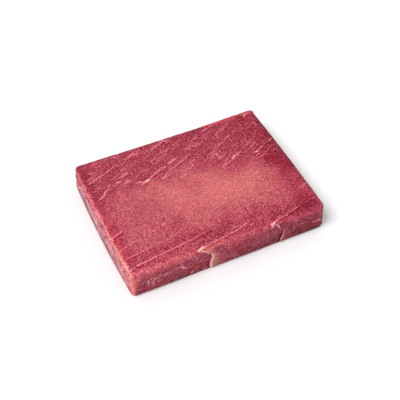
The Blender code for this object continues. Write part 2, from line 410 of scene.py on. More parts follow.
# Soft patches on the top: x, y, reach along x and y, how much paler (or redder, below 0)
patches = (
    (-24, 4, 10, 10, 0.42), (-14, -7, 10, 10, 0.42), (5, 8, 9, 13, 0.36), (5, -14, 13, 12, 0.46),
    (19, -9, 14, 12, 0.38), (31, -22, 12, 10, 0.44), (38, -8, 13, 12, 0.34), (-12, -24, 10, 8, 0.3),
    (-35, 14, 6, 6, 0.28), (-5, 20, 12, 8, 0.1), (-45, 8, 12, 10, 0.12), (47, -15, 9, 9, 0.15),
    (-31, -29, 10, 7, -0.26), (-42, -1, 6, 7, -0.1), (-5, 4, 4, 9, -0.15), (-10, -46, 20, 5, -0.16),
    (60, -10, 9, 24, -0.14), (68, -5, 8, 30, -0.25), (66, -53, 16, 7, -0.3), (45, -53, 22, 4, -0.2),
    (-50, -55, 26, 4, 0.06), (58, 42, 22, 20, -0.14), (15, 46, 20, 12, -0.08),
)

# Marks on the flesh: tone, from u, v to u, v, half width, strength. On the top u and v are x and y,
# on the front x and z, on the left end y and z.
topMarks = (
    # the left rim, pink and cream with painted highlights, and the stained strip beside it
    ("stain", -75.6, 14, -75.6, -20, 1.8, 0.55), ("stain", -75.6, -20, -75.0, -44, 2.0, 0.6),
    ("duskRed", -73.8, 56, -74.4, 18, 2.8, 0.75), ("duskRed", -74.8, 18, -75.2, 2, 2.0, 0.5),
    ("stain", -76, -46, -70, -50, 1.4, 0.5), ("magenta", -72, -35, -70.5, -38, 2.6, 0.35),
    ("magenta", -73, -26, -72.5, -30, 2.0, 0.25), ("rimPinkAndHighlight", -79.3, 58, -78.9, 30, 1.4, 0.75),
    ("rimPinkAndHighlight", -79.0, 30, -79.2, -10, 1.7, 0.95), ("rimCreamAndHighlight", -79.4, 8, -79.0, -40, 1.7, 0.75),
    ("rimCreamAndHighlight", -79.0, -40, -78.0, -57, 1.8, 0.95), ("creamAndHighlight", -78.8, -44, -78.2, -52, 0.8, 0.6),
    ("rimCreamAndHighlight", -79.6, 24, -79.4, 19, 1.0, 0.7), ("rimCreamAndHighlight", -78.2, 38, -78.2, 34, 0.9, 0.5),
    ("rimPinkAndHighlight", -77.6, 3, -77.7, -1, 1.2, 0.8),
    # the right strip
    ("wineAndShade", 74.5, 50, 75.5, 20, 2.8, 0.5), ("wineAndShade", 75, 20, 75.5, -12, 2.4, 0.45),
    ("wineAndShade", 75.5, -12, 76.0, -40, 1.8, 0.4), ("wineAndShade", 72, -52, 63, -55, 3.6, 0.5),
    # the second mark of the next line: painted highlight specks on the right rim
    ("wineAndShade", 73, 8, 70, 2, 3.0, 0.3), ("blushAndHighlight", 76.4, -14, 76.6, -30, 0.8, 0.35),
    # the back edge; the next line darkens its rim with painted shade
    ("wineAndShade", -78, 58.8, 40, 59.4, 1.3, 0.75), ("wineAndShade", 40, 59.2, 76, 59.6, 0.9, 0.4),
    ("coralRed", 32, 56.9, 60, 56.6, 1.9, 0.85), ("duskRed", -8, 52.4, 24, 52.6, 2.4, 0.6),
    ("coralRed", 50, 54.8, 57, 55.4, 1.1, 0.35), ("creamAndHighlight", 67.3, 54.6, 69.7, 56.2, 1.2, 0.95),
    ("rimCoral", 62, 57.0, 75, 56.6, 1.7, 0.7), ("wineAndShade", 60.5, 55.4, 64.5, 56.2, 1.1, 0.6),
    ("coralRed", -66, 54.0, -62, 55.0, 1.8, 0.7), ("coralRed", -36, 52.4, -28, 52.0, 1.4, 0.65),
    ("wineAndShade", -62, 56.2, -57, 56.8, 0.8, 0.7), ("wineAndShade", -59, 51.6, -50, 53.6, 0.9, 0.5),
    ("blushAndHighlight", -64, 55.2, -52, 55.8, 0.8, 0.35), ("wineAndShade", 20, 55.4, 34, 55.8, 1.2, 0.65),
    ("creamAndHighlight", 29.5, 53.0, 32.5, 54.0, 0.7, 0.4), ("duskRed", 36, 52.6, 60, 52.2, 2.0, 0.4),
    # spots in the torn zone
    ("greyPink", -70.5, 46.8, -67, 45.4, 1.5, 0.65), ("creamAndHighlight", -34.0, 20.3, -31.4, 21.0, 0.9, 0.9),
    ("greyPink", -38.2, 18.6, -35.4, 19.4, 0.9, 0.45), ("greyPink", -41, 21.8, -38, 21.2, 0.8, 0.6),
    ("wineAndShade", -37, 23.4, -30, 23.6, 0.8, 0.45), ("wineAndShade", -36, 16.6, -30, 18.6, 0.8, 0.3),
    ("greyPink", -67.2, 22.2, -66.2, 23.4, 0.8, 0.7), ("greyPink", -71.4, 18.0, -70.0, 19.4, 0.8, 0.7),
    ("greyPink", -53.8, 28.6, -51.4, 28.2, 0.9, 0.7), ("creamAndHighlight", -74, 36.4, -72.8, 36.8, 0.8, 0.6),
    ("greyPink", -62, 44, -60.5, 45.5, 0.9, 0.4), ("greyPink", 27.4, 20.6, 27.8, 23.6, 0.8, 0.8),
    ("greyPink", 37, 39.4, 37.2, 44.6, 0.7, 0.65), ("greyPink", 58, 41.2, 59.2, 41.8, 0.9, 0.6),
    ("greyPink", 71.4, 40.6, 71.2, 43.6, 0.9, 0.7), ("greyPink", 64.6, 32.6, 65.8, 32.8, 0.9, 0.5),
    ("creamAndHighlight", 38.6, 15.8, 41.4, 16.2, 0.9, 0.55), ("creamAndHighlight", 57.0, 12.6, 58.8, 13.4, 0.8, 0.7),
    ("greyPink", 33.4, 5.4, 33.6, 8.0, 0.7, 0.5), ("greyPink", 26.2, 7.4, 26.8, 7.0, 0.7, 0.5),
    ("wineAndShade", 42.6, 37.6, 44.2, 38.6, 1.1, 0.6), ("wineAndShade", 22.6, 27.8, 23.6, 29.0, 1.0, 0.5),
    ("wineAndShade", 30.6, 36.2, 31.6, 37.6, 0.9, 0.5), ("wineAndShade", 55, 10.6, 62, 15.0, 0.9, 0.5),
    ("wineAndShade", 62, 15.6, 73, 18.8, 0.9, 0.55), ("wineAndShade", 52.4, 26.6, 53.4, 26.0, 1.1, 0.5),
    ("wineAndShade", -20, 19.0, -13, 23.4, 0.8, 0.5), ("wineAndShade", -4.4, 15.4, 1.5, 18.0, 0.8, 0.5),
    ("wineAndShade", -72, 34.8, -60, 39.4, 0.8, 0.45), ("wineAndShade", -72.5, 39.0, -66, 40.6, 0.7, 0.4),
    ("blushAndHighlight", -7.5, 12.4, -6.2, 13.6, 1.0, 0.6), ("blushAndHighlight", 4.6, 24, 6, 20, 1.0, 0.35),
    # the paler middle
    ("blushAndHighlight", -20.5, -12, -17.4, -9, 0.8, 0.4), ("blushAndHighlight", -17.4, -9, -17.8, 0, 0.6, 0.3),
    ("blushAndHighlight", -26, -18.6, -21.5, -15.6, 0.7, 0.22), ("blushAndHighlight", -9.2, -7, -7.4, -11, 0.8, 0.4),
    ("blushAndHighlight", -7, -24.5, -5, -28, 0.8, 0.4), ("blushAndHighlight", -40.6, -17, -41, -21, 0.6, 0.4),
    ("blushAndHighlight", -35, -17.4, -34.2, -22.4, 0.6, 0.45), ("blushAndHighlight", -39.8, -24.4, -38.6, -24.8, 0.8, 0.7),
    ("blushAndHighlight", -33.4, -23, -32.6, -23.6, 0.7, 0.5), ("blushAndHighlight", -49, -26.6, -47, -27.4, 0.8, 0.55),
    ("blushAndHighlight", -58, 20, -56.6, 10, 0.6, 0.4), ("blushAndHighlight", -44.6, 15, -43, 8, 0.6, 0.3),
    ("blushAndHighlight", 20.4, -14, 19, -18, 0.8, 0.4), ("blushAndHighlight", 5, -5, 6, -14, 0.7, 0.35),
    ("blushAndHighlight", 30, -14, 36, -17, 0.7, 0.35), ("blushAndHighlight", 33, -22, 36, -18, 0.7, 0.35),
    ("blushAndHighlight", 37.2, -30.6, 38, -32.6, 0.7, 0.5), ("blushAndHighlight", 13, -36, 19, -34.6, 0.6, 0.25),
    ("blushAndHighlight", 22, -34.6, 36, -32.4, 0.7, 0.35), ("blushAndHighlight", 2, -27, 10, -24, 0.7, 0.3),
    ("deepRed", -38.4, 2.4, -38, 0, 1.4, 0.5), ("deepRed", -36.6, -2.4, -36.2, -3, 1.0, 0.45),
    ("deepRed", -51, -0.2, -50.4, -0.8, 1.1, 0.5), ("deepRed", -37.6, -19.6, -37.2, -21.6, 1.2, 0.6),
    ("deepRed", -30, -22.6, -28, -23.6, 2.2, 0.5), ("deepRed", -30.4, -27, -29.8, -27.6, 1.1, 0.6),
    ("deepRed", 26.4, -36.2, 28.6, -36.8, 0.9, 0.6), ("deepRed", 13, -39.2, 15.4, -38.8, 0.8, 0.65),
    ("deepRed", 4, -42, 6.6, -41.4, 0.8, 0.6), ("deepRed", 42, -33, 50, -34.6, 1.1, 0.4),
    ("deepRed", 59, -39.2, 64, -37.8, 0.8, 0.55), ("deepRed", 60, -28, 62, -27, 1.3, 0.4),
    ("deepRed", 41.4, -24, 40.6, -30, 0.8, 0.35), ("deepRed", 5, -30, 12, -28, 0.9, 0.3),
    # the front bands
    ("wineAndShade", -20, -47.6, 8, -43.4, 2.2, 0.22), ("wineAndShade", -13, -45.4, -10.8, -45.0, 1.3, 0.7),
    ("wineAndShade", -24, -53.6, -4, -50.6, 1.0, 0.45), ("wineAndShade", -4, -50.6, 4, -49.4, 1.2, 0.4),
    ("stain", -74, -55.0, -48, -54.2, 1.5, 0.3), ("coralRed", -48, -54.4, -26, -53.4, 1.6, 0.35),
    ("deepRed", -41.2, -45.4, -40, -45.8, 1.0, 0.7), ("blushAndHighlight", -68.2, -46.8, -66.8, -46.2, 0.9, 0.8),
    ("deepRed", -74, -46, -62, -47.6, 1.4, 0.35), ("blushAndHighlight", 5.4, -49.6, 7.2, -47, 0.6, 0.6),
    ("blushAndHighlight", 46.4, -53, 47.4, -45.5, 0.6, 0.4), ("blushAndHighlight", 71, -35.6, 76, -33, 0.6, 0.3),
    ("wineAndShade", 62, -51.6, 72, -50.2, 1.6, 0.45), ("wineAndShade", 36, -53.4, 48, -51.4, 1.2, 0.35),
    ("crimson", 10, -54.8, 28, -53.8, 1.4, 0.25), ("duskRed", 42, -57.4, 60, -55.4, 1.6, 0.7),
    ("duskRed", 62, -55, 76, -54, 2.0, 0.6), ("rimCoral", -76, -57.6, -58, -58.2, 1.9, 0.75),
    ("rimCoral", -58, -57.8, -30, -58.8, 1.9, 0.6), ("salmon", -26, -58.4, -19, -58.2, 1.5, 0.8),
    ("salmon", -19, -57.6, -6, -57.4, 2.0, 0.55), ("creamAndHighlight", -26.4, -57.4, -22.6, -56.9, 0.9, 0.9),
    ("creamAndHighlight", 32.4, -59.2, 34.2, -58.0, 1.2, 0.9), ("rimCoral", -6, -58.6, 30, -58.8, 1.6, 0.4),
    ("rimRose", 46, -59.4, 76, -59.4, 1.2, 0.6), ("salmon", 34, -58.4, 40, -58.0, 1.4, 0.4),
)
frontMarks = (
    # the coral corner, with a painted highlight down its edge, and the rim
    ("coral", -72, 23.6, -76.4, 16, 2.2, 0.75), ("coral", -77.0, 16, -78.0, 4, 2.4, 0.85),
    ("orange", -78.6, 13, -78.2, 3, 1.3, 0.4), ("creamAndHighlight", -79.3, 23, -79.6, 6, 1.1, 0.85),
    ("plum", -74.4, 13, -75.2, 6, 1.4, 0.4), ("rimCoral", -74, 24.2, -58, 24.2, 1.2, 0.6),
    ("rimCoral", -58, 24.4, -28, 24.4, 1.2, 0.5), ("blushAndHighlight", -74.5, 21.6, -76.4, 16, 0.6, 0.4),
    ("rimCoral", -14, 24.4, 30, 24.4, 1.2, 0.4), ("rimRose", 42, 24.4, 76, 24.2, 1.2, 0.6),
    ("rimRose", -70, 21, -56, 21.4, 1.8, 0.3),
    # the left band
    ("plum", -71.5, 17, -70, 6, 3.2, 0.6), ("wineAndShade", -70.8, 10.6, -68.2, 10.4, 1.4, 0.75),
    # the first mark of the next line: painted shade along the foot
    ("wineAndShade", -73, 4, -60, 3.4, 1.6, 0.6), ("fleck", -66.6, 10.4, -66.4, 13, 0.7, 0.9),
    ("fleck", -61.8, 11.8, -61.0, 13.2, 0.9, 0.95), ("fleck", -63.4, 9, -62.6, 10.8, 0.7, 0.8),
    ("fleck", -62.4, 6.4, -62.0, 8, 0.6, 0.6), ("fleck", -70.6, 12.6, -69.8, 13.6, 0.6, 0.5),
    ("fleck", -53.4, 12.0, -52.4, 13.4, 0.9, 0.7), ("fleck", -62, 13.2, -57, 14.6, 0.7, 0.2),
    ("fleck", -57, 14.6, -50, 14.8, 0.7, 0.15), ("fleck", -47, 15.8, -41.6, 15.4, 0.7, 0.4),
    ("fleck", -41.6, 15.4, -39, 13.6, 0.8, 0.95), ("fleck", -39, 13.6, -36.6, 11.0, 0.7, 0.5),
    ("fleck", -64.6, 14.4, -63.8, 15.2, 0.6, 0.5), ("fleck", -57.6, 8.6, -56.6, 9.6, 0.6, 0.4),
    ("fleck", -32.6, 3.4, -31.8, 4.8, 0.9, 0.75), ("fleck", -48.6, 5.4, -48.0, 6.6, 0.6, 0.35),
    ("wineAndShade", -56, 10, -46, 11.4, 1.3, 0.45), ("wineAndShade", -46, 8, -38, 6.4, 2.0, 0.35),
    ("crimson", -36, 7, -20.5, 7.4, 2.6, 0.6), ("crimson", -60, 6, -48, 5, 1.8, 0.4),
    ("wineAndShade", -50, 18, -42, 18.6, 1.6, 0.5), ("frontPale", -30, 20, -23, 19.6, 1.8, 0.6),
    ("rust", -66, 20, -40, 20.6, 1.6, 0.45), ("creamAndHighlight", -26.4, 23.8, -21.6, 21.4, 1.0, 0.85),
    ("salmon", -22, 23.2, -17, 20, 1.6, 0.6), ("orchid", -19.8, 16, -19.6, 10, 0.8, 0.35),
    # both marks on the next line: painted shade in the gap left of the left flap's edge
    ("wineAndShade", -24.4, 22, -19.4, 18.2, 1.0, 0.6), ("deepShade", -19.4, 9, -19.8, 4.6, 0.9, 0.8),
    ("plum", -20.8, 17, -20.8, 8, 1.8, 0.4),
    # the middle band
    ("membrane", -15.0, 17, -15.6, 5, 1.7, 0.75), ("tan", -13.2, 13, -13.0, 4.6, 2.1, 0.7),
    ("olive", -13.4, 6, -12.6, 2.6, 2.0, 0.7), ("rust", -12.4, 16, -11, 9, 1.4, 0.35),
    ("rust", -10, 12, -7, 4, 2.4, 0.55), ("crimson", 2, 19, 5, 9, 3.2, 0.55),
    ("crimson", 9.6, 19, 11, 12, 1.6, 0.5), ("rust", -10, 20, 34, 20.4, 1.6, 0.4),
    ("dusk", 22, 15, 34, 11, 3.6, 0.6), ("dusk", 14, 16, 18, 9, 2.0, 0.3),
    # painted shade along the foot and in the gap left of the right flap's edge, on the next line and in the
    # first mark of the one after
    ("wineAndShade", 10, 3.8, 38, 3.8, 1.8, 0.4), ("deepShade", 39.8, 10, 38.9, 3.4, 0.9, 0.85),
    ("deepShade", 40.9, 13.2, 41.1, 12.2, 0.6, 0.6), ("creamAndHighlight", 33.6, 24.6, 34.6, 22.9, 1.0, 0.85),
    # the first mark of the next line: painted shade in the gap of the right flap's notch
    ("wineAndShade", 35.9, 23.2, 36.0, 22.0, 0.7, 0.7), ("fleck", 36.8, 21.8, 37.1, 20.2, 0.9, 0.8),
    ("rose", 42.8, 7, 43.6, 3, 1.5, 0.55), ("fleck", -8.4, 11.4, -7.6, 12.2, 0.7, 0.35),
    ("fleck", 6, 17.6, 7.4, 18.8, 0.6, 0.3),
    # the right band
    ("fleck", 52.0, 19.4, 52.8, 21.0, 0.9, 0.6), ("fleck", 50.2, 15, 50.8, 9, 0.5, 0.35),
    ("fleck", 46.6, 13, 47.4, 9, 0.5, 0.3), ("rose", 44, 14, 47, 5, 2.2, 0.4),
    # the second mark of the next line: painted shade along the foot
    ("crimson", 46, 20, 58, 20.4, 2.0, 0.4), ("wineAndShade", 52, 4.4, 76, 4.2, 2.6, 0.45),
    ("wineAndShade", 66, 12.8, 73, 13.6, 1.7, 0.8), ("wineAndShade", 66, 7, 74, 6.8, 1.4, 0.8),
    ("fleck", 66.6, 10.2, 69.6, 9.6, 0.65, 0.85), ("fleck", 69.6, 9.8, 72.4, 10.2, 0.6, 0.6),
    ("fleck", 72.4, 10.4, 75.4, 8.8, 0.8, 0.6), ("rose", 74.0, 14, 75.2, 10, 0.9, 0.6),
    ("wineAndShade", 58, 16, 70, 17.0, 2.4, 0.3), ("fleck", 62, 18.4, 63, 17.4, 0.5, 0.4),
    ("fleck", 65, 16.4, 66.4, 15.2, 0.5, 0.4), ("fleck", 60.4, 14, 61.4, 13, 0.5, 0.35),
    # the first mark of the next line: painted shade along the foot at the right end
    ("deepShade", 66, 2.2, 77, 2.4, 1.8, 0.8), ("wineAndShade", 48, 8, 76, 8, 5.0, 0.28),
    ("wineAndShade", 50, 16.5, 76, 16, 4.0, 0.22), ("wineAndShade", 2, 12, 36, 12, 6.0, 0.12),
)
endMarks = (
    # under the rim, towards the back
    ("endRed", 57.1, 18.6, 29.1, 20.1, 3.0, 0.5), ("endRed", 29.7, 21.4, 19.7, 21.8, 2.0, 0.3),
    ("endDarkAndCreaseShade", 57.9, 16.0, 54.9, 14.6, 1.6, 0.9), ("endDarkAndCreaseShade", 48.9, 15.2, 43.5, 16.0, 1.5, 0.6),
    ("endDarkAndCreaseShade", 28.7, 17.6, 24.4, 16.9, 1.6, 0.6), ("endDarkAndCreaseShade", 23.3, 16.7, 15.9, 15.7, 1.4, 0.5),
    ("endDarkAndCreaseShade", 42.1, 20.8, 36.6, 21.8, 0.9, 0.5), ("endDarkAndCreaseShade", 31.7, 21.3, 27.6, 22.2, 0.9, 0.6),
    # the last mark of the next line: painted shade near the foot
    ("endGrey", 49.1, 9.2, 33.8, 8.7, 3.4, 0.6), ("endFootShade", 52.7, 4.0, 31.3, 5.9, 2.8, 0.75),
    # the first mark of the next line: painted shade near the foot; the second: a painted highlight streak
    ("endFootShade", 37.8, 6.7, 34.4, 5.2, 1.8, 0.6), ("endPaleAndHighlight", 52.3, 5.9, 47.9, 11.5, 0.9, 0.9),
    ("endPaleAndHighlight", 34.5, 13.8, 31.8, 17.0, 0.8, 0.5), ("endPaleAndHighlight", 31.0, 11.4, 19.2, 9.4, 2.6, 0.55),
    ("endPaleAndHighlight", 39.4, 17.7, 36.5, 20.1, 0.7, 0.4), ("endShade", 36, 9.0, 28, 6.5, 2.2, 0.7),
    ("endShade", 20, 5.5, 8, 5.5, 1.6, 0.6), ("endCrimson", 53.6, 17.5, 50.6, 14, 1.6, 0.6),
    ("endCrimson", 27, 18, 14, 17, 2.2, 0.6), ("endCrimson", 54, 19, 46, 16.5, 2.8, 0.5),
    ("endCrimson", 44, 21, 34, 19.4, 2.0, 0.45),
    # the middle
    ("endShade", -5, 6, -13, 5.5, 2.2, 0.7), ("endShade", -27, 12.8, -29, 9.5, 1.6, 0.7),
    ("endShade", -8, 11, -9.5, 9, 1.2, 0.5), ("endShade", 1, 19.8, -5, 19.2, 1.0, 0.5),
    # the dark marks of the next two lines, along the crease: painted shade
    ("endDarkAndCreaseShade", 9.2, 18.7, 6.3, 19.7, 1.0, 0.6), ("endDarkAndCreaseShade", 2.2, 19.6, -3.9, 19.1, 1.2, 0.75),
    ("endDarkAndCreaseShade", -7.6, 18.0, -9.9, 17.8, 1.2, 0.6), ("endDarkAndCreaseShade", -13.9, 17.7, -17.1, 18.6, 1.2, 0.65),
    ("endPaleAndHighlight", 12.1, 18.1, 4.6, 22.0, 0.9, 0.8), ("endPaleAndHighlight", -19.4, 20.3, -20.6, 22.0, 0.9, 0.7),
    ("endPaleAndHighlight", 21.3, 21.4, 17.8, 22.5, 0.9, 0.6), ("endPaleAndHighlight", 13.4, 12.2, 8.1, 10.6, 2.2, 0.35),
    # the last mark of the next line: painted shade near the foot
    ("endPaleAndHighlight", -10.7, 12.3, -16.7, 10.9, 1.8, 0.35), ("endFootShade", 29.1, 5.5, 4.4, 6.2, 2.2, 0.5),
    ("endCrimson", 45.3, 20.6, 42.5, 22.2, 0.9, 0.8), ("endCrimson", 37.7, 20.4, 34.3, 22.4, 1.0, 0.7),
    ("endCrimson", 27.2, 20.9, 25.2, 22.6, 0.9, 0.6), ("endCrimson", 55.8, 17.0, 49.7, 13.4, 1.4, 0.55),
    # the last marks of the next two lines: painted shade near the foot
    ("endCrimson", 18.7, 20.6, 13.9, 22.1, 1.2, 0.4), ("endFootShade", -30.7, 6.3, -45.8, 4.6, 2.2, 0.45),
    ("endPlum", -2.5, 6.9, -6.6, 6.0, 1.8, 0.6), ("endFootShade", -9.4, 7.1, -15.3, 7.0, 2.4, 0.6),
    ("endPlum", -26.8, 10.5, -28.6, 8.3, 1.7, 0.85), ("endPlum", -22.0, 7.6, -24.1, 6.1, 1.4, 0.5),
    ("endPaleAndHighlight", -24.7, 13.0, -25.9, 11.6, 0.9, 0.6),
    # towards the front corner
    ("endRust", -28.9, 20.5, -32.2, 16.5, 2.0, 0.6), ("endRust", -36.5, 19.7, -39.7, 16.8, 1.4, 0.5),
    ("endSalmon", -32.6, 20.7, -55.3, 17.1, 4.0, 0.6), ("endSalmon", -43.4, 9.7, -58.1, 9.1, 5.0, 0.55),
    ("endPaleAndHighlight", -43.0, 20.0, -41.3, 11.6, 0.9, 0.7), ("endPaleAndHighlight", -38.0, 8.4, -41.3, 4.4, 1.8, 0.55),
    ("endRust", -45.4, 15.5, -50.7, 9.8, 2.2, 0.45), ("endPaleAndHighlight", -55.3, 20.9, -54.2, 15.5, 1.0, 0.85),
    # the last mark of the next line: painted shade near the foot
    ("endRust", -52.1, 17.4, -53.6, 13.0, 1.2, 0.5), ("endFootShade", -53.2, 4.1, -57.8, 4.1, 1.6, 0.7),
    ("endOrange", -58.9, 9.8, -60.1, 3.7, 1.4, 0.4), ("endPaleAndHighlight", 28.9, 22.3, 25.2, 22.6, 0.9, 0.5),
)


def drift(u, v, size, seed):
    # soft hills and hollows of about this size in mm, from about -1 to 1
    chance = numpy.random.default_rng(seed)
    waves = 14
    total = numpy.zeros(len(u))
    for _ in range(waves):
        heading = chance.uniform(0, 2 * math.pi)
        pace = 2 * math.pi / (size * chance.uniform(0.7, 1.6))
        start = chance.uniform(0, 2 * math.pi)
        total += numpy.sin((u * math.cos(heading) + v * math.sin(heading)) * pace + start)
    return total / math.sqrt(waves)


def fade(value):
    # 0 below 0, 1 above 1, smooth between
    value = numpy.clip(value, 0, 1)
    return value * value * (3 - 2 * value)


def paintedFields(x, y):
    # the rough back zone, and how pale the flesh of the top is
    border = numpy.interp(x, *numpy.array(roughBorder).T)
    rough = fade((y - border + drift(x, y, 16, 1) * 3.0 + drift(x, y, 5, 2) * 2.5) / 19 + 0.42)
    wideX = x + drift(x, y, 22, 3) * 3
    wideY = y + drift(x, y, 22, 4) * 3
    inside = fade((border + 2 - wideY) / 16) * fade((wideY + 46) / 12) * fade((78 - wideX) / 20)
    pale = inside * 0.38 * fade((wideX + 80) / 18)
    for middleX, middleY, reachX, reachY, strength in patches:
        away = ((wideX - middleX) / reachX) ** 2 + ((wideY - middleY) / reachY) ** 2
        pale += numpy.exp(-away) * strength
    pale += drift(x, y, 11, 5) * 0.05 + drift(x, y, 4.5, 6) * 0.06
    # both ends of the top are a little darker, but not the very edge on the right
    pale -= 0.12 * (fade((x - 56) / 8) - fade((x - 70) / 5) * 0.8 + fade((-68 - x) / 4))
    return rough, pale


def paintMarks(marks, u, v, where, colour, seed):
    # lays each mark over the colour so far, only where this face is; colour holds red, green, blue, cover
    fineU, fineV = drift(u, v, 3.0, seed), drift(u, v, 3.0, seed + 1)
    wideU, wideV = drift(u, v, 9.0, seed + 2), drift(u, v, 9.0, seed + 3)
    for name, fromU, fromV, toU, toV, width, strength in marks:
        reach = min(width, 1.2) * 0.35
        sway = max(width - 1.0, 0.0) * 0.45
        placeU = u + fineU * reach + wideU * sway
        placeV = v + fineV * reach + wideV * sway
        alongU, alongV = toU - fromU, toV - fromV
        share = (placeU - fromU) * alongU + (placeV - fromV) * alongV
        share = numpy.clip(share / (alongU ** 2 + alongV ** 2), 0, 1)
        gap = numpy.hypot(placeU - fromU - share * alongU, placeV - fromV - share * alongV)
        cover = fade(1.3 - gap / width) * strength * where
        for channel, value in enumerate(flesh[name][:3] + (1.0,)):
            colour[:, channel] += (value - colour[:, channel]) * cover


def fibres(x, y, across, along, seed):
    # long thin flecks that follow the grain, 0 to 1
    return joined(grainAcross(x, y) / across, x / along, seed).noise(1.0, 1.0, 0.5)


def threads(x, y, across, along, seed, width):
    # thin lines along the grain: 1 on a line
    return (fibres(x, y, across, along, seed) - 0.5).bump(width)


def flapStep(x, z, flap):
    # how far left of a flap's free edge a place on the front lies
    return z.through(flap["points"]) - x


def endCrease(y, z):
    # height above the crease in the left end
    return z - y.through(creaseLine)


def reliefHeight(place, rough, strand):
    x, y, z = parts(place)
    onTop = z.ramp(height - 3.0, height - 0.6)
    wander = (place.noise(0.12) - 0.5) * 1.6
    jagged = (place.noise(0.6, 2.0) - 0.5) * 1.4

    # the top: fibres, deep in the rough back zone and faint elsewhere, and the seams
    coarse = threads(x, y, 3.2, 18.0, 3.0, 0.07)
    fine = fibres(x, y, 1.5, 7.0, 7.0) - 0.5
    torn = coarse * block["coarseFibres"] + fine * block["fineFibres"]
    top = torn * rough.ramp(0.0, 1.0, 0.3, 1.0) + strand * block["strandRise"]
    for seam in seams.values():
        gap, mask = seamMask(x, y, seam, wander)
        groove = (gap + 1.8).bump(1.8) * x.through(seam["bright"])
        top = top + mask * block["seamRise"] - groove * block["seamGroove"]
    lumps = (place.noise(0.22, 3.0) - 0.5) * block["lumps"]
    pits = place.noise(0.55, 2.0).ramp(0.6, 0.75) * block["pits"]

    # the front: each flap stands out over the flesh to its left
    onFront = (-y).ramp(halfWidth - 3.0, halfWidth - 0.8) * z.ramp(0.0, 1.6)
    front = (place.warped(0.2, 4.0).noise(0.45, 2.0) - 0.5) * block["frontWaves"]
    for flap in flaps.values():
        left = flapStep(x, z, flap) + jagged
        behind = left.ramp(0.0, 0.8) * left.ramp(0.0, flap["recovers"] * 2.0, 1.0, 0.0)
        front = front - behind * flap["step"] * z.ramp(height + 0.5, height - 2.5, 0.0, 1.0)
        front = front + (left + 0.8).bump(1.6) * block["flapLip"]
    split = (z - x.through(splitLine) + jagged).bump(1.3) * x.ramp(62.0, 66.0)
    front = front - split * block["splitDepth"]

    # the ends and the back
    onLeft = (-x).ramp(halfLength - 1.5, halfLength + 0.5) * z.ramp(0.0, 1.6)
    crease = endCrease(y, z) + jagged
    ends = ((crease - 2.4).bump(2.4) * block["creaseLip"] - crease.bump(1.4) * block["creaseDepth"]) * onLeft
    scallops = (joined(x / 5.0, y / 4.0, z / 3.0).noise(1.0, 1.0) - 0.5) * block["scallops"]
    side = (front * onFront + ends + scallops * z.ramp(0.0, 3.0)) * (1.0 - onTop)
    # the back rim is a little sharper towards the right
    backLip = (y - (halfWidth - 1.6)).bump(3.4) * z.ramp(height - 5.0, height - 2.0)
    backLip = backLip * x.ramp(20.0, 70.0, 0.0, block["backLip"])
    return (top - pits) * onTop + lumps + side + backLip + block["allOver"]


def bend(place):
    # the ends bow and lean out, the front's foot is tucked in, the back is hollow, the top swells:
    # the offset in mm
    x, y, z = parts(place)
    along = x / halfLength
    aside = y / halfWidth
    bow = 1.0 - aside * aside
    lean = 1.0 - z / height
    right = bow * block["bowRight"] + lean * block["footRight"]
    left = bow * -block["bowLeft"] - lean * block["footLeft"]
    isRight = x.maths("GREATER_THAN", x, 0.0)
    outward = (right * isRight + left * (1.0 - isRight)) * along * along
    isBack = y.maths("GREATER_THAN", y, 0.0)
    hollow = (1.0 - along * along) * isBack * -block["backHollow"]
    tuck = lean * (1.0 - isBack) * block["frontTuck"]
    inward = (hollow + tuck) * aside * aside
    swell = (1.0 - along * along) * bow * block["topSwell"] * z.ramp(height / 2, height)
    return joined(outward, inward, swell)


def geometryTree(name):
    tree = bpy.data.node_groups.new(name, "GeometryNodeTree")
    tree.interface.new_socket("Geometry", in_out="INPUT", socket_type="NodeSocketGeometry")
    tree.interface.new_socket("Geometry", in_out="OUTPUT", socket_type="NodeSocketGeometry")
    start = Wire(tree, tree.nodes.new("NodeGroupInput").outputs[0])
    return tree, start


def strayStrands():
    # faint fibres strewn over the torn zone, along its grain
    chance = numpy.random.default_rng(block["straySeed"])
    strewn = []
    for _ in range(block["strays"]):
        x = chance.uniform(-76, 70)
        y = numpy.interp(x, *numpy.array(roughBorder).T) + chance.uniform(-3, 42)
        reach = chance.uniform(*block["strayReach"])
        slope = 0.42 + 0.0012 * x + chance.normal(0, 0.07)
        if y + reach * slope < halfWidth - 2 and x + reach < halfLength - 1:
            bright = chance.uniform(*block["strayBright"])
            strewn.append((x, y, x + reach, y + reach * slope, bright, block["strayWidth"]))
    return strewn


def paintStrands(x, y, z):
    # how far behind the nearest single pale fibre each point of the top lies, in widths of the fibre,
    # and how bright that fibre is
    gaps = numpy.full(len(x), 3.0)
    brights = numpy.zeros(len(x))
    wobbly = y + 0.18 * numpy.sin(x * 0.9 + y * 0.3) + 0.07 * numpy.sin(x * 2.3 - y * 0.7)
    for fromX, fromY, toX, toY, bright, width in list(strands) + strayStrands():
        slope = (toY - fromY) / (toX - fromX)
        gap = (wobbly - fromY - (x - fromX) * slope) / math.hypot(1.0, slope) / (width * 0.8)
        inside = numpy.clip((x - fromX) / 2 + 0.8, 0, 1) * numpy.clip((toX - x) / 2 + 0.8, 0, 1)
        nearer = (numpy.abs(gap) < numpy.abs(gaps)) & (inside > 0)
        gaps = numpy.where(nearer, gap, gaps)
        brights = numpy.where(nearer, bright * inside * fade(2.6 - numpy.abs(gap)), brights)
    return gaps, brights * fade((z - height + 3.4) / 1.2)


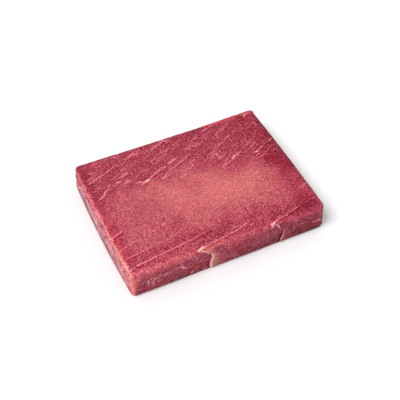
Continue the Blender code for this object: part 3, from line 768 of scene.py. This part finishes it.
def paintBlock(cube):
    # keeps what relief and colour both need on the mesh, as attributes
    places = numpy.empty(len(cube.data.vertices) * 3)
    cube.data.vertices.foreach_get("co", places)
    x, y, z = (places / mm).reshape(-1, 3).T
    rough, pale = paintedFields(x, y)
    gap, bright = paintStrands(x, y, z)
    for name, values in (("rough", rough), ("pale", pale), ("strandGap", gap), ("strandBright", bright)):
        cube.data.attributes.new(name, "FLOAT", "POINT").data.foreach_set("value", values)
    colour = numpy.zeros((len(x), 4))
    onTop = fade((z - height + 3.6) / 1.6)
    onFront = fade((-y - halfWidth + 3.4) / 1.6) * fade((x + halfLength + 3.4) / 1.2)
    onEnd = fade((-x - halfLength + 2.4) / 1.8) * fade((y + halfWidth + 0.4) / 1.0)
    paintMarks(endMarks, y, z, onEnd, colour, seed=30)
    paintMarks(frontMarks, x, z, onFront, colour, seed=20)
    paintMarks(topMarks, x, y, onTop, colour, seed=10)
    painted = cube.data.attributes.new("marks", "FLOAT_COLOR", "POINT")
    painted.data.foreach_set("color", colour.ravel())


def applyForm(cube, name, build):
    # runs a small geometry tree on the block: build gives each point's offset in mm
    tree, geometry = geometryTree(name)
    place = geometry.node("GeometryNodeInputPosition")
    inMm = place.node("ShaderNodeVectorMath", {"operation": "SCALE"}, {0: place, "Scale": 1 / mm})
    offset = build(inMm)
    moved = geometry.node("GeometryNodeSetPosition", sockets={
        "Geometry": geometry,
        "Offset": offset.node("ShaderNodeVectorMath", {"operation": "SCALE"}, {0: offset, "Scale": mm}),
    })
    out = tree.nodes.new("NodeGroupOutput")
    tree.links.new(moved.socket, out.inputs[0])
    makeActive(cube)
    modifier = cube.modifiers.new(name, "NODES")
    modifier.node_group = tree
    bpy.ops.object.modifier_apply(modifier=name)


def carve(place):
    # the relief, along the surface's own normal: the offset in mm
    x, y, z = parts(place)
    rough, gap, bright = (
        place.node("GeometryNodeInputNamedAttribute", {"data_type": "FLOAT"}, {"Name": name})
        for name in ("rough", "strandGap", "strandBright")
    )
    strand = gap.bump(1.2) * bright
    depth = reliefHeight(place, rough, strand) * z.ramp(0.3, 1.5)
    normal = place.node("GeometryNodeInputNormal")
    return normal.node("ShaderNodeVectorMath", {"operation": "SCALE"}, {0: normal, "Scale": depth})


def thinUnderside(cube):
    makeActive(cube)
    bpy.ops.object.mode_set(mode="EDIT")
    bpy.ops.mesh.select_mode(type="FACE")
    inside = 3.5
    pickFaces(cube, lambda centre, normal: centre.z < 0.3 * mm and normal.z < -0.9
              and abs(centre.x) < (halfLength - inside) * mm and abs(centre.y) < (halfWidth - inside) * mm)
    bpy.ops.mesh.decimate(ratio=block["undersideKeeps"])
    bpy.ops.object.mode_set(mode="OBJECT")


# The flesh's finish. Tones are as they look in full light.

flesh = {
    "dark": tone(175, 62, 83),
    "pale": tone(218, 117, 114),
    "crimson": tone(160, 30, 52),
    "stain": tone(206, 70, 90),
    "duskRed": tone(160, 54, 74),
    "magenta": tone(184, 62, 92),
    # dark flesh, and also painted shade at the front's foot, in gaps and along the back rim
    "wineAndShade": tone(122, 18, 42),
    # painted shade, deepest: in the gaps left of the flaps and along the foot
    "deepShade": tone(84, 20, 40),
    "deepRed": tone(164, 48, 66),
    "coralRed": tone(216, 88, 98),
    "rimCoral": tone(226, 114, 120),
    "coral": tone(222, 110, 113),
    "orange": tone(246, 142, 124),
    "salmon": tone(222, 124, 116),
    # pale flesh, and also painted highlight specks on the right rim
    "blushAndHighlight": tone(236, 142, 142),
    "greyPink": tone(222, 134, 144),
    # cream flesh, and also a painted highlight down the front-left corner's edge and on the left rim
    "creamAndHighlight": tone(252, 190, 184),
    # the left rim's pink and cream, with painted highlights
    "rimPinkAndHighlight": tone(226, 120, 132),
    "rimCreamAndHighlight": tone(244, 160, 154),
    "rimRose": tone(204, 94, 112),
    "rose": tone(180, 84, 100),
    "fleck": tone(232, 158, 164),
    "plum": tone(128, 48, 74),
    "orchid": tone(186, 98, 132),
    "rust": tone(178, 78, 84),
    "dusk": tone(152, 76, 86),
    "membrane": tone(206, 138, 138),
    "tan": tone(176, 118, 108),
    "olive": tone(146, 112, 100),
    "frontDark": tone(138, 46, 64),
    "frontLight": tone(168, 82, 95),
    "frontPale": tone(184, 98, 110),
    "sideDark": tone(146, 50, 68),
    "sideLight": tone(172, 84, 96),
    "endBase": tone(222, 158, 160),
    "endDusk": tone(188, 114, 122),
    "endRed": tone(206, 92, 108),
    "endRim": tone(220, 122, 129),
    "endCrimson": tone(192, 62, 84),
    # dark spots, and painted shade in the crease
    "endDarkAndCreaseShade": tone(138, 58, 68),
    "endGrey": tone(194, 132, 142),
    # painted shade near the foot of the left end
    "endFootShade": tone(146, 116, 116),
    # pale flesh, and also a painted highlight streak low at the back of the left end
    "endPaleAndHighlight": tone(250, 190, 192),
    "endShade": tone(136, 92, 98),
    "endPlum": tone(150, 84, 98),
    "endRust": tone(196, 108, 104),
    "endSalmon": tone(226, 132, 122),
    "endOrange": tone(240, 134, 110),
    "seam": tone(250, 184, 182),
    "lightFleck": (0.27, 0.112, 0.13),  # what a light fleck adds
    "darkFleck": (0.45, 0.82, 0.72),  # what a dark fleck takes, as a share
    # how strong the flecks are: along the grain at the back, all over the top, on the cut sides
    "tornFlecks": 9.2,
    "tornLevel": -0.22,
    "smoothLevel": -0.08,
    "dust": 9.0,
    "worms": 3.22,
    "curls": 0.6,
    "hatching": 7.2,
    "grit": 7.5,
    "clots": 1.5,
    # how much the fibres and the seams stand out, and the painted shade beside them
    "strandLight": 4.4,
    "strandShade": 1.5,
    "seamLight": 2.2,
    "seamShade": 0.5,
    "footShade": 0.5,
    "roughness": 0.5,
    "roughnessSpread": 0.08,
    "specular": 0.1,
    "subsurface": 0.06,
    "bumpStrength": 0.6,
    "bumpHeight": 0.4,
    # how strongly the studio lights each side, and the gloss it adds, taken off the tones above
    "lightOnTop": 1.23,
    "glossOnTop": 0.008,
    "lightOnFront": 0.94,
    "lightOnCorner": 1.18,
    "glossOnFront": 0.014,
    "lightOnEnd": 1.19,
    "glossOnEnd": 0.036,
}


def flecked(colour, amount):
    # lightens a colour where the amount is over 0 and darkens it where it is under, -1 to 1
    lighter = amount.atLeast(0.0).atMost(2.6)
    darker = (-amount).atLeast(0.0).atMost(1.0)
    return (colour + lighter * flesh["lightFleck"]) * (1.0 - darker * flesh["darkFleck"])


def kept(place, name, output=2):
    return place.node("ShaderNodeAttribute", {"attribute_name": name}, output=output)


def topGrain(place, x, y, rough):
    # short flecks along the grain at the back, fine curls elsewhere, hatching on the front bands
    short = (fibres(x, y, 0.32, 1.9, 11.0) - 0.5) * flesh["tornFlecks"]
    curly = (place.warped(0.25, 5.0).noise(0.45, 1.0) - 0.5).bump(0.08)
    dust = (place.noise(2.0, 1.0, 0.6) - 0.5) * flesh["dust"]
    worms = (place.warped(0.3, 4.0).noise(1.0, 1.0) - 0.5) * flesh["worms"]
    hatch = (joined(x / 0.6, y / 2.4, 5.0).noise(1.0, 1.0) - 0.5) * y.ramp(-44.0, -52.0)
    smoothPart = dust * 0.66 + curly * flesh["curls"] + worms + hatch * flesh["hatching"]
    smoothPart = smoothPart + flesh["smoothLevel"]
    roughPart = short + dust * 0.3 + flesh["tornLevel"]
    return smoothPart + (roughPart - smoothPart) * rough.ramp(0.0, 1.0, 0.15, 1.0)


def topColour(place, x, y):
    wander = (place.noise(0.12) - 0.5) * 1.2
    rough, pale, strandGap, strandBright = (
        kept(place, name) for name in ("rough", "pale", "strandGap", "strandBright")
    )
    colour = pale.mixed(flesh["dark"], flesh["pale"])
    blotches = place.noise(0.09, 2.0, 0.5, (40, 0, 0))
    colour = (blotches.ramp(0.52, 0.7) * rough * 0.3).mixed(colour, flesh["crimson"])
    amount = topGrain(place, x, y, rough) + pale.atMost(0.0) * 1.6

    # single fibres and the pale seams, each with painted shade on its front side
    jagged = (place.noise(0.9, 1.0) - 0.5) * 0.4
    gap = strandGap + jagged
    lines = gap.bump(0.7) * flesh["strandLight"] - (gap + 1.3).bump(0.9) * flesh["strandShade"]
    lines = lines * strandBright
    for seam in seams.values():
        gap, mask = seamMask(x, y, seam, wander)
        shade = (gap + 1.3).bump(1.3) * x.through(seam["bright"])
        lines = lines + mask * flesh["seamLight"] - shade * flesh["seamShade"]
    return colour, amount, lines


def sideColour(place):
    # the cut sides that face away: crimson, paler in patches
    patchy = place.warped(0.1, 6.0).noise(0.16, 3.0)
    return patchy.ramp(0.35, 0.68).mixed(flesh["sideDark"], flesh["sideLight"])


# Along x on the front: how much painted shade darkens its foot, and how much deeper its red
footAlong = (
    (-74, 0.0), (-60, 0.3), (-50, 1.0), (-20, 1.0), (-14, 0.2), (0, 0.3), (14, 0.9), (30, 0.8),
    (50, 1.1), (72, 1.2),
)
deeperAlong = ((-10, 0.0), (8, 0.6), (36, 0.68), (46, 1.0))


def frontColour(place, x, z):
    # the front: crimson, paler in patches, darkened towards its foot by painted shade, and deeper in colour
    # to the right
    patchy = place.warped(0.1, 6.0).noise(0.2, 3.0)
    colour = patchy.ramp(0.35, 0.7).mixed(flesh["frontDark"], flesh["frontLight"])
    # painted shade towards the foot
    foot = z.ramp(15.0, 3.0) * x.through(footAlong) * flesh["footShade"]
    deeper = x.through(deeperAlong)
    takes = joined(deeper * 0.24, deeper * 0.54, deeper * 0.4)
    return colour * (1.0 - foot) * (1.0 - takes)


def endColour(place, y, z):
    # the left end: greyish pink, greyer towards its foot with painted shade, under a crease darkened with
    # painted shade and a coral rim
    mottle = place.warped(0.15, 6.0).noise(0.22, 3.0)
    colour = mottle.ramp(0.38, 0.62).mixed(flesh["endBase"], flesh["endDusk"])
    # painted shade towards the foot
    colour = (z.ramp(9.0, 4.0) * y.ramp(-56.0, -44.0) * 0.5).mixed(colour, flesh["endFootShade"])
    jagged = (place.noise(0.6, 2.0) - 0.5) * 1.4
    crease = endCrease(y, z) + jagged
    colour = (crease.ramp(-1.0, 2.0) * 0.7).mixed(colour, flesh["endRim"])
    # painted shade along the crease
    return (crease.bump(1.3) * 0.5).mixed(colour, flesh["endDarkAndCreaseShade"])


# How clear the flaps' pale line is, from the foot up: (height, how clear)
lineUpwards = ((4.0, 0.95), (9.0, 0.75), (13.5, 0.6), (17.0, 1.0))


def flapEdges(place, colour, x, z):
    # each flap's free edge: a pale line with painted shade in the gap to its left, over which its thin skin
    # shows through
    jagged = (place.noise(0.6, 2.0) - 0.5) * 1.2
    uneven = place.noise(0.4, 2.0, 0.5, (0, 0, 30)).ramp(0.35, 0.55, 0.65, 1.0)
    for flap in flaps.values():
        left = flapStep(x, z, flap) + jagged
        high = z.ramp(height + 0.5, height - 5.0)
        gap = (left - flap["line"] * 0.75 - 0.5).bump(1.2) * uneven
        # painted shade in the gap left of the flap's free edge
        colour = (gap * high * 0.85).mixed(colour, flesh["deepShade"])
        if flap["skin"]:
            skin = left.ramp(-5.5, -1.0) * left.ramp(0.0, 0.5, 1.0, 0.0) * z.ramp(height - 3.0, height - 8.0)
            colour = (skin * flap["skin"]).mixed(colour, flesh["tan"])
        line = (left + 0.3).bump(flap["line"]) * z.through(lineUpwards)
        colour = (line * flap["bright"]).mixed(colour, flesh["seam"])
    return colour


def fleshColour(place):
    x, y, z = parts(place)
    edge = (place.noise(0.35, 2.0) - 0.5) * 2.0
    onTop = (z + edge).ramp(height - 1.7, height - 0.6)
    onFront = (-y).ramp(halfWidth - 3.0, halfWidth - 1.0)
    onEnd = (-x).ramp(halfLength - 1.2, halfLength + 0.8)
    onCorner = onFront * (-x).ramp(halfLength - 5.0, halfLength - 2.0) * (1.0 - onEnd)
    grit = (place.warped(0.3, 3.0).noise(1.5, 2.0, 0.7) - 0.5) * flesh["grit"]
    clots = (place.warped(0.2, 4.0).noise(0.4, 2.0) - 0.5) * flesh["clots"]

    colour = onFront.mixed(sideColour(place), frontColour(place, x, z))
    colour = onEnd.mixed(colour, endColour(place, y, z))
    under = z.ramp(1.0, 0.3)
    flat = (onTop + under).atMost(1.0)
    top, grain, lines = topColour(place, x, y)
    colour = flat.mixed(colour, top)
    cover = kept(place, "marks", 3)
    colour = colour * (1.0 - cover) + kept(place, "marks", 0)
    amount = (grit * (1.0 + onEnd * 0.5) + clots * (1.0 + onEnd * 2.0)) * (1.0 - flat) + grain * flat
    colour = flecked(colour, amount * (1.0 - cover * 0.5) + lines * onTop)
    colour = (onFront * (1.0 - onEnd)).mixed(colour, flapEdges(place, colour, x, z))

    # the tones are as each side looks in the studio, so that side's light and gloss come off again
    light = flesh["lightOnTop"]
    faceLight = onFront * (flesh["lightOnFront"] - light) + onEnd * (flesh["lightOnEnd"] - light) + light
    faceLight = faceLight + onCorner * (flesh["lightOnCorner"] - flesh["lightOnFront"])
    steep = z.ramp(height - 0.5, height - 3.5)
    faceLight = faceLight * steep + (1.0 - steep) * light
    gloss = flesh["glossOnTop"]
    faceGloss = onFront * (flesh["glossOnFront"] - gloss) + onEnd * (flesh["glossOnEnd"] - gloss) + gloss
    bare = (colour - joined(faceGloss, faceGloss, faceGloss)) / joined(faceLight, faceLight, faceLight)
    return bare.atLeast((0.002, 0.002, 0.002))


def fleshMaterial():
    material = bpy.data.materials.new("tunaFlesh")
    material.use_nodes = True
    tree = material.node_tree
    shader = tree.nodes["Principled BSDF"]
    start = Wire(tree)
    place = start.node("ShaderNodeTexCoord", output=3)
    inMm = place.node("ShaderNodeVectorMath", {"operation": "SCALE"}, {0: place, "Scale": 1 / mm})
    colour = fleshColour(inMm)
    tree.links.new(colour.socket, shader.inputs["Base Color"])
    x, y, z = parts(inMm)
    rough = kept(inMm, "rough") * z.ramp(height - 3.0, height - 1.0)
    grit = inMm.noise(1.1, 3.0, 0.6) * 0.4 + fibres(x, y, 0.42, 3.2, 11.0) * rough.ramp(0.0, 1.0, 0.3, 0.7)
    normal = start.node("ShaderNodeBump", sockets={
        "Strength": flesh["bumpStrength"],
        "Distance": flesh["bumpHeight"] * mm,
        "Height": grit,
    })
    tree.links.new(normal.socket, shader.inputs["Normal"])
    least = flesh["roughness"] - flesh["roughnessSpread"]
    most = flesh["roughness"] + flesh["roughnessSpread"]
    tree.links.new(inMm.noise(0.5, 2.0).ramp(0.3, 0.7, least, most).socket, shader.inputs["Roughness"])
    shader.inputs["Specular IOR Level"].default_value = flesh["specular"]
    shader.inputs["Subsurface Weight"].default_value = flesh["subsurface"]
    shader.inputs["Subsurface Radius"].default_value = (1.0, 0.35, 0.3)
    shader.inputs["Subsurface Scale"].default_value = 2.0 * mm
    return material


def makeBlock():
    cube = addCube()
    roundEdges(cube)
    remesh(cube)
    report("rounded and remeshed")
    applyForm(cube, "bend", bend)
    paintBlock(cube)
    report("bent and painted")
    applyForm(cube, "carve", carve)
    report("carved")
    thinUnderside(cube)
    makeActive(cube)
    bpy.ops.object.shade_smooth()
    cube.data.materials.clear()
    cube.data.materials.append(fleshMaterial())
    report(str(len(cube.data.polygons)) + " faces")
    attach(cube, "root")
    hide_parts("tuna_block")


# The studio

# lengths in mm but for the floor's size, angles in degrees
studio = {
    "floorSize": 3.0,
    "floorBelow": 0.2,
    "floor": tone(237, 239, 239),
    "world": 0.65,
    "keyStrength": 2.3,
    "keyAngle": 30,
    "keyFrom": (-0.62, -0.14, 1.0),
    "lens": 75.3,
    "cameraAt": (-184.31, -394.49, 487.10),
    "cameraHeading": -25.27,
    "cameraLooksDown": 47.79,
}


def makeStudio():
    selectNothing()
    bpy.ops.mesh.primitive_plane_add(size=studio["floorSize"], location=(0, 0, -studio["floorBelow"] * mm))
    floor = bpy.context.object
    floor.name = "floor"
    white = bpy.data.materials.new("floorWhite")
    white.use_nodes = True
    shader = white.node_tree.nodes["Principled BSDF"]
    shader.inputs["Base Color"].default_value = studio["floor"]
    shader.inputs["Roughness"].default_value = 0.9
    shader.inputs["Specular IOR Level"].default_value = 0.0
    floor.data.materials.append(white)

    scene = bpy.context.scene
    world = bpy.data.worlds.new("studioWorld")
    world.use_nodes = True
    world.node_tree.nodes["Background"].inputs["Color"].default_value = (1, 1, 1, 1)
    world.node_tree.nodes["Background"].inputs["Strength"].default_value = studio["world"]
    scene.world = world
    scene.view_settings.view_transform = "Standard"

    key = bpy.data.lights.new("key", "SUN")
    key.energy = studio["keyStrength"]
    key.angle = math.radians(studio["keyAngle"])
    keyObject = bpy.data.objects.new("key", key)
    keyObject.rotation_euler = Vector(studio["keyFrom"]).to_track_quat("Z", "Y").to_euler()
    scene.collection.objects.link(keyObject)

    camera = bpy.data.cameras.new("camera")
    camera.lens = studio["lens"]
    camera.sensor_width = 36.0
    camera.clip_start = 0.01
    cameraObject = bpy.data.objects.new("camera", camera)
    cameraObject.location = [value * mm for value in studio["cameraAt"]]
    cameraObject.rotation_euler = (
        math.radians(90 - studio["cameraLooksDown"]),
        0,
        math.radians(studio["cameraHeading"]),
    )
    scene.collection.objects.link(cameraObject)
    scene.camera = cameraObject


makeBlock()
makeStudio()
report("studio ready")
bpy.context.view_layer.update()
